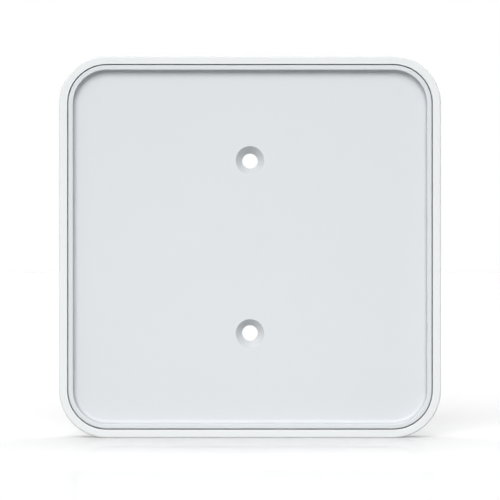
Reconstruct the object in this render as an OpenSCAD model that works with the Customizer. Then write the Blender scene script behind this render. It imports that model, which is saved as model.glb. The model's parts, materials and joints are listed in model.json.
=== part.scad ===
// Mounting tray for a square access point, for a ceiling or a wall.
//
// Frame: X to the right, Z up, and the tray faces the room along -Y. The origin is the centre of
// the back face, halfway between the two screw holes. Each piece is drawn lying on its back, with
// X to the right, Y up the wall and Z from the wall towards the room, and stand_up() turns it.
//
// The core is a stack. The tray plate is in front, with the magnet carrier bonded under its floor.
// The back plate is screwed to the carrier and shuts in a steel plate and four magnets. The outer
// frame is a trim ring that slides onto the core from the front.

/* [Outline] */
// Width and height of the square outline
body_w = 120; // [116:1:130]
// Depth from the back face to the front of the rim
body_d = 12; // [12:0.5:14]
// Radius of the outline's corners
corner_r = 15; // [12:1:18]

/* [Outer frame] */
// Width of the frame's front face, from the outline to the seam
band_w = 2.6; // [2.4:0.1:3]
// Width of the open seam between the frame and the tray plate
seam_w = 0.3; // [0.25:0.05:0.4]
// Thickness of the frame's skirt behind its front lip
skirt_t = 1.8; // [1.5:0.1:2]
// Radius of the frame's outer front edge
edge_r = 0.5; // [0.3:0.1:1.5]
// Gap between the frame's rear edge and the wall
wall_gap = 1; // [0.5:0.1:1.5]

/* [Tray plate] */
// Width of the raised rim
rim_w = 1.5; // [1.2:0.05:1.7]
// Depth of the recess below the rim
recess_d = 2.5; // [2:0.1:3]
// Draft of the recess wall, in degrees
wall_draft = 3; // [1:1:10]
// Radius of the fillet at the foot of the recess wall
foot_r = 1; // [0.3:0.1:1.6]
// Thickness of the tray's floor
floor_t = 2.4; // [2.2:0.1:2.6]
// Thickness of the tray's side wall
side_t = 1.8; // [1.5:0.1:2]

/* [Mounting screw holes] */
// Distance between the two holes
hole_pitch = 54.5; // [52:0.5:58]
// Diameter of the holes, for a 4 mm or No. 8 screw
hole_d = 5; // [4.5:0.1:5.2]
// Diameter of the countersinks at the tray's floor
sink_d = 9; // [8.6:0.1:9.4]
// Angle of the countersinks, from side to side
sink_angle = 82; // [80:1:90]
// Outer diameter of the steel sleeves that line the holes
sleeve_d = 8; // [7.5:0.1:8.5]

/* [Back plate and steel plate] */
// Thickness of the back plate
plate_t = 2; // [2:0.1:2.4]
// Thickness of the steel plate
steel_t = 1.2; // [1:0.1:1.3]
// Width and height of the steel plate
steel_w = 93; // [90:1:93]

/* [Magnets and their carrier] */
// Diameter of each magnet
magnet_d = 20; // [18:0.5:20]
// Thickness of each magnet
magnet_t = 5; // [4:0.1:5]
// Distance of each magnet from the centre, across and up
magnet_at = 34; // [33:0.5:35]
// Thickness of the carrier's ribs and rings
rib_t = 1.4; // [1.2:0.1:1.6]

/* [Assembly screws and pads] */
// Diameter of the assembly screws' shanks
screw_d = 2.5; // [2.2:0.1:2.6]
// Diameter of the assembly screws' heads
head_d = 4.8; // [4.6:0.1:5]
// Length of the assembly screws
screw_l = 6; // [5:0.1:6]
// Diameter of the rubber pads
pad_d = 10; // [8:0.5:11]
// Thickness of the rubber pads
pad_t = 1.2; // [1:0.1:1.4]

/* [Hidden] */
$fn = 96;

// Clearances between pieces, and the overlap that joins shapes
fit = 0.05;
loose_fit = 0.2;
slide_gap = 0.3;
eps = 0.01;

// Distances from the centre to the sides
body_half = body_w / 2;
lip_half = body_half - band_w;
rim_half = lip_half - seam_w;
recess_half = rim_half - rim_w;
skirt_half = body_half - skirt_t;
side_half = skirt_half - slide_gap;
cavity_half = side_half - side_t;
plate_half = side_half - loose_fit;
insert_half = cavity_half - loose_fit;
corner_c = body_half - corner_r;
floor_half = corner_c + 5;

// Heights above the wall: the recess floor and its underside, the shoulder that stops the frame
// and the underside of the frame's lip, then the stack inside and the steps of the screw holes
floor_z = body_d - recess_d;
under_z = floor_z - floor_t;
shoulder_z = floor_z + 0.5;
lip_z = shoulder_z + 0.1;
steel_z = plate_t + steel_t;
magnet_z = steel_z + magnet_t;
sink_z = floor_z - (sink_d - hole_d) / 2 / tan(sink_angle / 2);
sleeve_z = sink_z - 1;
boss_z = sleeve_z - 0.5;

// Diameters and places of the smaller features
boss_d = sleeve_d + 4;
screw_boss_d = 6.4;
screw_at = insert_half - 4;
screw_side = 25;
magnet_seat_d = magnet_d + 2 * loose_fit;
rib_at = 13;
pad_at = 46;
peg_d = 3;
peg_at = [26, 7];

corners = [["top_left", [-1, 1]], ["top_right", [1, 1]],
           ["bottom_left", [-1, -1]], ["bottom_right", [1, -1]]];
ends = [["top", 1], ["bottom", -1]];
quarter_turns = [0:90:270];
sides = [-1, 1];
// The assembly screws, clockwise from the left end of the top side
screw_places = [for (turn = [0:-90:-270], side = sides)
    [cos(turn) * side * screw_side - sin(turn) * screw_at,
     sin(turn) * side * screw_side + cos(turn) * screw_at]];

// ---- Shared shapes ----

module stand_up() {
    rotate([90, 0, 0]) children();
}

// An arc's points, from one angle to another
function arc(centre, r, from, to, steps = 6) =
    [for (i = [0:steps]) let (a = from + (to - from) * i / steps)
        centre + r * [cos(a), sin(a)]];

// A square with rounded corners, half its width from the centre to each side
module rounded_square(half, r) {
    c = half - r;
    square([2 * half, 2 * c], center = true);
    square([2 * c, 2 * half], center = true);
    for (turn = quarter_turns) rotate(turn) translate([c, c]) intersection() {
        circle(r);
        square(r);
    }
}

// The object's outline moved in, so that its sides are half from the centre
module outline(half) {
    rounded_square(half, half - corner_c);
}

// Sweeps a section round the outline. In the section, X is the distance from the object's centre
// to the side and Y is the height above the wall.
module around() {
    for (turn = quarter_turns) rotate(turn) {
        translate([corner_c, corner_c]) rotate_extrude(angle = 90)
            translate([-corner_c, 0]) children();
        translate([0, corner_c]) rotate([90, 0, 0])
            linear_extrude(2 * corner_c) children();
    }
}

module at_corners(distance) {
    for (c = corners) translate(distance * c[1]) children();
}

module at_holes() {
    for (e = ends) translate([0, e[1] * hole_pitch / 2]) children();
}

module at_screws() {
    for (place = screw_places) translate(place) children();
}

module at_pegs() {
    for (side = sides, end = sides) translate([side * peg_at[0], end * peg_at[1]]) children();
}

// ---- Outer frame ----

module outer_frame() {
    rear_r = 0.5;
    lip_r = 0.15;
    nail_slot = [16, 2 * skirt_t, 1.2];
    color("white") stand_up() difference() {
        around() polygon(concat(
            [[skirt_half, wall_gap]],
            arc([body_half - rear_r, wall_gap + rear_r], rear_r, -90, 0, 4),
            arc([body_half - edge_r, body_d - edge_r], edge_r, 0, 90, 10),
            arc([lip_half + lip_r, body_d - lip_r], lip_r, 90, 180, 3),
            [[lip_half, lip_z], [skirt_half, lip_z]]));
        // a slot for a fingernail, to pull the frame off
        translate([-nail_slot[0] / 2, -body_half - skirt_t / 2, wall_gap - eps])
            cube(nail_slot);
    }
}

// ---- Tray plate ----

// The section through the tray's side wall, rim, recess wall and the edge of its floor
module tray_section() {
    rim_r = 0.25;
    wall_run = recess_d * tan(wall_draft);
    foot_run = foot_r * tan((90 - wall_draft) / 2);
    foot = [recess_half - wall_run - foot_run, floor_z + foot_r];
    polygon(concat(
        [[floor_half, under_z], [cavity_half, under_z], [cavity_half, plate_t],
         [side_half, plate_t], [side_half, shoulder_z], [rim_half, shoulder_z]],
        arc([rim_half - rim_r, body_d - rim_r], rim_r, 0, 90, 4),
        arc([recess_half + rim_r, body_d - rim_r], rim_r, 90, 180 - wall_draft, 4),
        arc(foot, foot_r, -wall_draft, -90, 8),
        [[floor_half, floor_z]]));
}

// Half-round ribs on the side wall, which the frame grips
module grip_ribs() {
    r = 0.8;
    along = 20;
    for (turn = quarter_turns, side = sides)
        rotate(turn) translate([side * along, skirt_half - fit - r, plate_t + 0.6])
            cylinder(r = r, h = shoulder_z - plate_t - 1);
}

module tray_plate() {
    color("lightgray") stand_up() difference() {
        union() {
            around() tray_section();
            translate([0, 0, under_z]) linear_extrude(floor_t) outline(floor_half);
            at_holes() translate([0, 0, boss_z])
                cylinder(d = boss_d, h = under_z - boss_z + eps);
            grip_ribs();
        }
        at_corners(magnet_at) cylinder(d = magnet_seat_d, h = magnet_z + fit);
        at_holes() {
            cylinder(d = hole_d, h = body_d);
            cylinder(d = sleeve_d + 2 * fit, h = sleeve_z + fit);
            translate([0, 0, sink_z]) cylinder(d1 = hole_d, d2 = sink_d, h = floor_z - sink_z);
        }
    }
}

// ---- Magnet carrier ----

// A lattice of ribs, and stubs that tie each magnet's ring to the rim
module carrier_ribs(height) {
    stub = insert_half - magnet_at - magnet_d / 2;
    for (turn = [0, 90], side = sides)
        rotate(turn) translate([side * rib_at - rib_t / 2, -insert_half + eps])
            cube([rib_t, 2 * (insert_half - eps), height]);
    for (turn = quarter_turns, side = sides)
        rotate(turn) translate([side * magnet_at - rib_t / 2, insert_half - stub])
            cube([rib_t, stub - eps, height]);
}

module magnet_carrier() {
    height = under_z - steel_z;
    boss_seat_d = boss_d + 2 * loose_fit;
    color("gray") stand_up() translate([0, 0, steel_z]) difference() {
        union() {
            translate([0, 0, -steel_z]) around() translate([insert_half - rib_t, steel_z])
                square([rib_t, height]);
            carrier_ribs(height);
            at_corners(magnet_at) cylinder(d = magnet_seat_d + 2 * rib_t, h = height);
            at_holes() {
                cylinder(d = boss_seat_d + 2 * rib_t, h = height);
                // webs that tie the ring to the lattice
                translate([-rib_at, -rib_t / 2]) cube([2 * rib_at, rib_t, height]);
            }
            at_screws() cylinder(d = screw_boss_d, h = height);
        }
        at_corners(magnet_at) translate([0, 0, -1]) cylinder(d = magnet_seat_d, h = height + 2);
        at_holes() {
            translate([0, 0, -1]) cylinder(d = sleeve_d + 2 * loose_fit, h = height + 2);
            translate([0, 0, boss_z - steel_z - fit]) cylinder(d = boss_seat_d, h = height);
        }
        at_screws() translate([0, 0, -1])
            cylinder(d = screw_d + 2 * fit, h = screw_l - steel_z + 1.6);
    }
}

// ---- Back plate ----

module back_plate() {
    edge = 0.6;
    notch_r = 1;
    ejector_d = 5;
    ejector_at = [17, 38];
    ejector_depth = 0.15;
    gate_d = 6;
    gate_at = [0, 13];
    gate_depth = 0.5;
    screw_hole_d = screw_d + 0.3;
    sink = head_d + 2 * fit;
    color("white") stand_up() difference() {
        union() {
            linear_extrude(plate_t) outline(floor_half);
            around() union() {
                polygon([[floor_half, 0], [plate_half - edge, 0], [plate_half, edge],
                         [plate_half, plate_t], [floor_half, plate_t]]);
                // the rib that centres it in the tray plate
                translate([insert_half - 1.2, plate_t - eps])
                    square([1.2, steel_t - fit + eps]);
            }
            at_pegs() cylinder(d = peg_d, h = steel_z - fit);
            at_screws() cylinder(d = screw_boss_d, h = steel_z);
        }
        at_holes() translate([0, 0, -1]) cylinder(d = sleeve_d + 2 * fit, h = plate_t + 2);
        at_screws() {
            translate([0, 0, -1]) cylinder(d = screw_hole_d, h = steel_z + 2);
            cylinder(d1 = sink, d2 = screw_hole_d, h = (sink - screw_hole_d) / 2);
        }
        at_corners(pad_at) translate([0, 0, -1])
            cylinder(d = pad_d + 2 * fit, h = pad_t + 1);
        // notches at the middle of each side, to line up with pencil marks
        for (turn = quarter_turns) rotate(turn) translate([0, plate_half, -1])
            cylinder(r = notch_r, h = plate_t + 1 - eps);
        // shallow round marks of the mould's ejector pins, and the dimple of its gate
        for (turn = quarter_turns, side = sides) rotate(turn)
            translate([side * ejector_at[0], ejector_at[1], -1])
                cylinder(d = ejector_d, h = 1 + ejector_depth);
        translate(gate_at) translate([0, 0, -1]) cylinder(d = gate_d, h = 1 + gate_depth);
    }
}

// ---- Steel plate and magnets ----

module steel_plate() {
    color("silver") stand_up() translate([0, 0, plate_t]) linear_extrude(steel_t) difference() {
        rounded_square(steel_w / 2, 6);
        at_holes() circle(d = sleeve_d + 2 * loose_fit);
        at_pegs() circle(d = peg_d + 2 * fit);
        // lightening holes between the magnets
        circle(d = 18);
        for (turn = quarter_turns) rotate(turn) translate([0, magnet_at + 3]) circle(d = 8);
    }
}

module magnet(corner) {
    edge = 0.4;
    color("gainsboro") stand_up() translate(magnet_at * corner) translate([0, 0, steel_z]) {
        cylinder(d1 = magnet_d - 2 * edge, d2 = magnet_d, h = edge);
        translate([0, 0, edge]) cylinder(d = magnet_d, h = magnet_t - 2 * edge);
        translate([0, 0, magnet_t - edge])
            cylinder(d1 = magnet_d, d2 = magnet_d - 2 * edge, h = edge);
    }
}

// ---- Sleeves, screws and pads ----

module screw_sleeve(end) {
    color("silver") stand_up() translate([0, end * hole_pitch / 2]) difference() {
        cylinder(d = sleeve_d, h = sleeve_z);
        translate([0, 0, -1]) cylinder(d = hole_d, h = sleeve_z + 2);
    }
}

// A countersunk screw with a six-lobe recess
module assembly_screw(place) {
    point = 0.6;
    lobe_r = 0.32;
    lobe_at = 0.88;
    recess = 1;
    color("dimgray") stand_up() translate(place) difference() {
        union() {
            cylinder(d1 = head_d, d2 = screw_d, h = (head_d - screw_d) / 2);
            cylinder(d = screw_d, h = screw_l - point);
            translate([0, 0, screw_l - point])
                cylinder(d1 = screw_d, d2 = screw_d - 2 * point, h = point);
        }
        translate([0, 0, -eps]) {
            cylinder(r = lobe_at, h = recess);
            for (turn = [0:60:300]) rotate(turn) translate([lobe_at, 0])
                cylinder(r = lobe_r, h = recess);
        }
    }
}

module rubber_pad(corner) {
    edge = 0.25;
    color("dimgray") stand_up() translate(pad_at * corner) {
        cylinder(d1 = pad_d - 2 * edge, d2 = pad_d, h = edge);
        translate([0, 0, edge]) cylinder(d = pad_d, h = pad_t - edge);
    }
}

outer_frame();
tray_plate();
magnet_carrier();
back_plate();
steel_plate();
for (c = corners)
    magnet(c[1]);
for (e = ends)
    screw_sleeve(e[1]);
for (i = [1:len(screw_places)])
    assembly_screw(screw_places[i - 1]);
for (c = corners)
    rubber_pad(c[1]);
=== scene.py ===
"""Looks of a square access point's mounting tray, standing on its lower side on a pale floor."""

import json
import math

import bpy
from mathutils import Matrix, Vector


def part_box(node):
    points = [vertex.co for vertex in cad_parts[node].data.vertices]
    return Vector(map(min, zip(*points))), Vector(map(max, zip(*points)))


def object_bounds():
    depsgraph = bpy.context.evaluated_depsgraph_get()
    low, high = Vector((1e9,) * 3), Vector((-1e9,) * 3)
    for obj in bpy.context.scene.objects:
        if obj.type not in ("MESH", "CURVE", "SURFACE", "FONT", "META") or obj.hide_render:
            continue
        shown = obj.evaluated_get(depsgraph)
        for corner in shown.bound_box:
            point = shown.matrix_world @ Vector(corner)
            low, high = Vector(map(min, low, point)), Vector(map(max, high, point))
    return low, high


MM = 0.001

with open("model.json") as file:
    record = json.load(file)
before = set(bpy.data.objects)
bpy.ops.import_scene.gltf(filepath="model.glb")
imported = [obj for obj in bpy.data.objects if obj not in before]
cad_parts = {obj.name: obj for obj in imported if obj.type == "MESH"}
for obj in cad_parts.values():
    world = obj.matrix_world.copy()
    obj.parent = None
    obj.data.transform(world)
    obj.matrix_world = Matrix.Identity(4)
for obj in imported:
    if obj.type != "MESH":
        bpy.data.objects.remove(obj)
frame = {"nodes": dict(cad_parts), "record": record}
cad_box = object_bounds()
scene = bpy.context.scene


# ---- Camera ----

def make_camera():
    """A long lens, square on to the tray and level with its middle."""
    distance = 800 * MM
    view_width = 157.02 * MM
    data = bpy.data.cameras.new("camera")
    data.sensor_width = 36
    data.lens = data.sensor_width * distance / view_width
    data.clip_start = 0.05
    data.clip_end = 20
    camera = bpy.data.objects.new("camera", data)
    camera.location = (0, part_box("tray_plate")[0].y - distance, -0.97 * MM)
    camera.rotation_euler = (math.radians(90), 0, 0)
    scene.collection.objects.link(camera)
    scene.camera = camera


# ---- Shader helpers ----

class Shader:
    """A material's node tree, with short calls for the nodes that every material uses."""

    def __init__(self, name):
        self.material = bpy.data.materials.new(name)
        self.material.use_nodes = True
        self.nodes = self.material.node_tree.nodes
        self.links = self.material.node_tree.links
        self.nodes.clear()
        self.output = self.nodes.new("ShaderNodeOutputMaterial")
        self.place = self.nodes.new("ShaderNodeTexCoord").outputs["Object"]

    def node(self, kind, **inputs):
        node = self.nodes.new("ShaderNode" + kind)
        for name, value in inputs.items():
            self.put(node.inputs[name.replace("_", " ")], value)
        return node

    def put(self, socket, value):
        if isinstance(value, bpy.types.NodeSocket):
            self.links.new(value, socket)
        else:
            socket.default_value = value

    def noise(self, size, detail=2.0, roughness=0.5, stretch=(1, 1, 1)):
        """Noise whose features are about size metres across, from 0 to 1."""
        mapping = self.node("Mapping", Vector=self.place)
        mapping.inputs["Scale"].default_value = [1 / (size * s) for s in stretch]
        noise = self.node("TexNoise", Vector=mapping.outputs["Vector"], Scale=1.0,
                          Detail=detail, Roughness=roughness)
        return noise.outputs["Fac"]

    def spread(self, value, low, high):
        """Maps noise, which lies mostly between 0.3 and 0.7, onto low to high."""
        node = self.node("MapRange", Value=value)
        node.inputs["From Min"].default_value = 0.3
        node.inputs["From Max"].default_value = 0.7
        node.inputs["To Min"].default_value = low
        node.inputs["To Max"].default_value = high
        return node.outputs["Result"]

    def mix(self, factor, a, b):
        node = self.nodes.new("ShaderNodeMix")
        node.data_type = "RGBA"
        self.put(node.inputs["Factor"], factor)
        self.put(node.inputs["A"], a)
        self.put(node.inputs["B"], b)
        return node.outputs["Result"]

    def bump(self, height, depth):
        """A bump of depth metres between the height map's 0 and 1."""
        return self.node("Bump", Height=height, Distance=depth, Strength=1.0).outputs["Normal"]

    def surface(self, **inputs):
        shader = self.node("BsdfPrincipled", **inputs)
        self.links.new(shader.outputs["BSDF"], self.output.inputs["Surface"])
        return shader


def grey(level):
    return (level, level, level, 1.0)


# ---- Materials ----

def moulded_plastic(name, colour, drift, roughness, grain, grain_depth):
    """Satin moulded plastic: a fine mould grain, faint flow marks and a slight drift in colour."""
    s = Shader(name)
    flow = s.noise(28 * MM, detail=3.0)
    tint = s.mix(s.spread(flow, 0, 1), colour, drift)
    skin = s.noise(grain, detail=3.0, roughness=0.6)
    rough = s.spread(s.noise(6 * MM, detail=4.0), roughness - 0.03, roughness + 0.03)
    s.surface(Base_Color=tint, Roughness=rough, IOR=1.5, Normal=s.bump(skin, grain_depth))
    return s.material


def rubber(name):
    s = Shader(name)
    tint = s.mix(s.spread(s.noise(0.8 * MM, detail=4.0), 0, 1), grey(0.016), grey(0.04))
    grain = s.bump(s.noise(0.4 * MM, detail=3.0, roughness=0.7), 0.06 * MM)
    s.surface(Base_Color=tint, Roughness=0.75, IOR=1.52, Normal=grain)
    return s.material


def metal(name, colour, drift, roughness, grain, grain_depth, stretch=(1, 1, 1)):
    """Plated metal, with the fine lines or mottle of its finish."""
    s = Shader(name)
    lines = s.noise(grain, detail=4.0, roughness=0.65, stretch=stretch)
    tint = s.mix(s.spread(s.noise(4 * MM, detail=3.0), 0, 1), colour, drift)
    rough = s.spread(lines, roughness - 0.07, roughness + 0.07)
    s.surface(Base_Color=tint, Metallic=1.0, Roughness=rough, Normal=s.bump(lines, grain_depth))
    return s.material


def make_materials():
    frame_white = moulded_plastic("frame_plastic", (0.70, 0.72, 0.728, 1), (0.695, 0.715, 0.723, 1),
                                  0.42, 0.3 * MM, 0.002 * MM)
    tray_grey = moulded_plastic("tray_plastic", (0.615, 0.64, 0.66, 1), (0.61, 0.635, 0.655, 1),
                                0.45, 0.3 * MM, 0.002 * MM)
    back_grey = moulded_plastic("back_plastic", (0.70, 0.72, 0.73, 1), (0.68, 0.70, 0.71, 1),
                                0.6, 0.5 * MM, 0.03 * MM)
    carrier_grey = moulded_plastic("carrier_plastic", grey(0.035), grey(0.045), 0.5, 0.4 * MM,
                                   0.01 * MM)
    nickel = metal("magnet_nickel", (0.70, 0.67, 0.62, 1), (0.66, 0.63, 0.58, 1), 0.18,
                   0.3 * MM, 0.001 * MM)
    zinc = metal("zinc_steel", (0.52, 0.54, 0.57, 1), (0.60, 0.61, 0.62, 1), 0.38, 0.15 * MM,
                 0.004 * MM, stretch=(30, 1, 1))
    turned = metal("sleeve_steel", (0.55, 0.56, 0.58, 1), (0.60, 0.61, 0.62, 1), 0.3, 0.08 * MM,
                   0.003 * MM)
    screw = metal("screw_steel", (0.40, 0.41, 0.43, 1), (0.48, 0.49, 0.50, 1), 0.32, 0.12 * MM,
                  0.004 * MM)
    return {"frame_plastic": frame_white, "tray_plastic": tray_grey, "back_plastic": back_grey,
            "carrier_plastic": carrier_grey, "magnet_nickel": nickel, "zinc_steel": zinc,
            "sleeve_steel": turned, "screw_steel": screw, "pad_rubber": rubber("pad_rubber")}


def dress_nodes():
    """Gives every CAD node the material of its slot in the record."""
    materials = make_materials()
    for part in frame["record"]["subparts"]:
        for slot in frame["nodes"][part["node"]].material_slots:
            slot.material = materials[part["material_slot"]]


# ---- Floor, light and view ----

def make_floor():
    """A wide white disc under the lower side, with a faint polish."""
    radius = 6.0
    corners = 96
    rim = [(radius * math.cos(i * math.tau / corners), radius * math.sin(i * math.tau / corners), 0)
           for i in range(corners)]
    mesh = bpy.data.meshes.new("floor")
    mesh.from_pydata(rim, [], [range(corners)])
    floor = bpy.data.objects.new("floor", mesh)
    floor.location.z = cad_box[0][2]
    scene.collection.objects.link(floor)

    s = Shader("floor")
    white = s.node("BsdfDiffuse", Color=grey(0.8))
    polish = s.node("BsdfGlossy", Color=grey(1.0), Roughness=0.02)
    both = s.node("MixShader", Fac=0.15)
    s.links.new(white.outputs[0], both.inputs[1])
    s.links.new(polish.outputs[0], both.inputs[2])
    s.links.new(both.outputs[0], s.output.inputs["Surface"])
    mesh.materials.append(s.material)
    # it shows the shadow and the reflection, and throws no light back up
    floor.visible_diffuse = False
    floor.visible_glossy = False
    floor.visible_shadow = False


class Surroundings:
    """The soft light from every direction, as a sum of smooth patches on the world's sphere."""

    def __init__(self):
        self.world = bpy.data.worlds.new("world")
        self.world.use_nodes = True
        self.nodes = self.world.node_tree.nodes
        self.links = self.world.node_tree.links
        self.nodes.clear()
        self.towards = self.nodes.new("ShaderNodeTexCoord").outputs["Generated"]
        self.total = None

    def patch(self, towards, edge, middle, strength):
        """Light of the given strength round one direction. It fades out between two angles."""
        dot = self.nodes.new("ShaderNodeVectorMath")
        dot.operation = "DOT_PRODUCT"
        self.links.new(self.towards, dot.inputs[0])
        dot.inputs[1].default_value = Vector(towards).normalized()
        fade = self.nodes.new("ShaderNodeMapRange")
        fade.interpolation_type = "SMOOTHSTEP"
        self.links.new(dot.outputs["Value"], fade.inputs["Value"])
        fade.inputs["From Min"].default_value = math.cos(math.radians(edge))
        fade.inputs["From Max"].default_value = math.cos(math.radians(middle))
        fade.inputs["To Max"].default_value = strength
        if self.total is None:
            self.total = fade.outputs["Result"]
            return
        add = self.nodes.new("ShaderNodeMath")
        self.links.new(self.total, add.inputs[0])
        self.links.new(fade.outputs["Result"], add.inputs[1])
        self.total = add.outputs["Value"]

    def finish(self):
        """White where the camera looks, and the patches everywhere else."""
        out = self.nodes.new("ShaderNodeOutputWorld")
        seen = self.nodes.new("ShaderNodeBackground")
        lit = self.nodes.new("ShaderNodeBackground")
        for background in (seen, lit):
            background.inputs["Color"].default_value = grey(1.0)
        self.links.new(self.total, lit.inputs["Strength"])
        path = self.nodes.new("ShaderNodeLightPath")
        mix = self.nodes.new("ShaderNodeMixShader")
        self.links.new(path.outputs["Is Camera Ray"], mix.inputs["Fac"])
        self.links.new(lit.outputs[0], mix.inputs[1])
        self.links.new(seen.outputs[0], mix.inputs[2])
        self.links.new(mix.outputs[0], out.inputs["Surface"])
        scene.world = self.world


def make_card():
    """A small white card, low in front, which lifts the lower half of the tray a little."""
    data = bpy.data.lights.new("card", "AREA")
    data.shape = "RECTANGLE"
    data.size = 0.16
    data.size_y = 0.02
    data.energy = 0.019
    card = bpy.data.objects.new("card", data)
    card.location = (0, -0.13, -0.036)
    card.rotation_euler = (math.radians(90), 0, 0)
    card.visible_camera = False
    card.visible_glossy = False
    scene.collection.objects.link(card)


def make_light():
    light = Surroundings()
    # the key: a wide soft box in front, above and a little to the left
    light.patch((-0.12, -1.0, 0.6), 30, 10, 5.6)
    light.patch((-0.7, -1.0, 0.55), 35, 10, 1.0)
    light.patch((0.5, -1.0, 0.45), 35, 10, 0.7)
    # a weak fill all round the front, and one from low down
    light.patch((-0.3, -1.0, 0.0), 90, 30, 0.17)
    light.patch((0.0, -0.4, -1.0), 60, 20, 0.15)
    # a broad light over and behind the set
    light.patch((0.0, 0.8, 1.0), 60, 15, 1.5)
    # white boards behind the object: over it, at its sides and low down
    light.patch((0.0, 1.0, 0.3), 90, 50, 0.35)
    light.patch((-1.0, 0.4, 0.0), 50, 15, 0.8)
    light.patch((1.0, 0.4, 0.0), 50, 15, 0.8)
    light.patch((0.0, 0.5, -1.0), 50, 15, 0.7)
    # a trace of light from everywhere
    light.patch((0.0, 0.0, 1.0), 181, 180, 0.05)
    light.finish()
    make_card()


def set_view():
    # one bounce keeps the shade in the recess and the countersinks crisp
    scene.cycles.diffuse_bounces = 1
    scene.view_settings.view_transform = "Standard"
    scene.view_settings.look = "None"
    scene.view_settings.exposure = 0
    scene.view_settings.gamma = 1


make_camera()
dress_nodes()
make_floor()
make_light()
set_view()
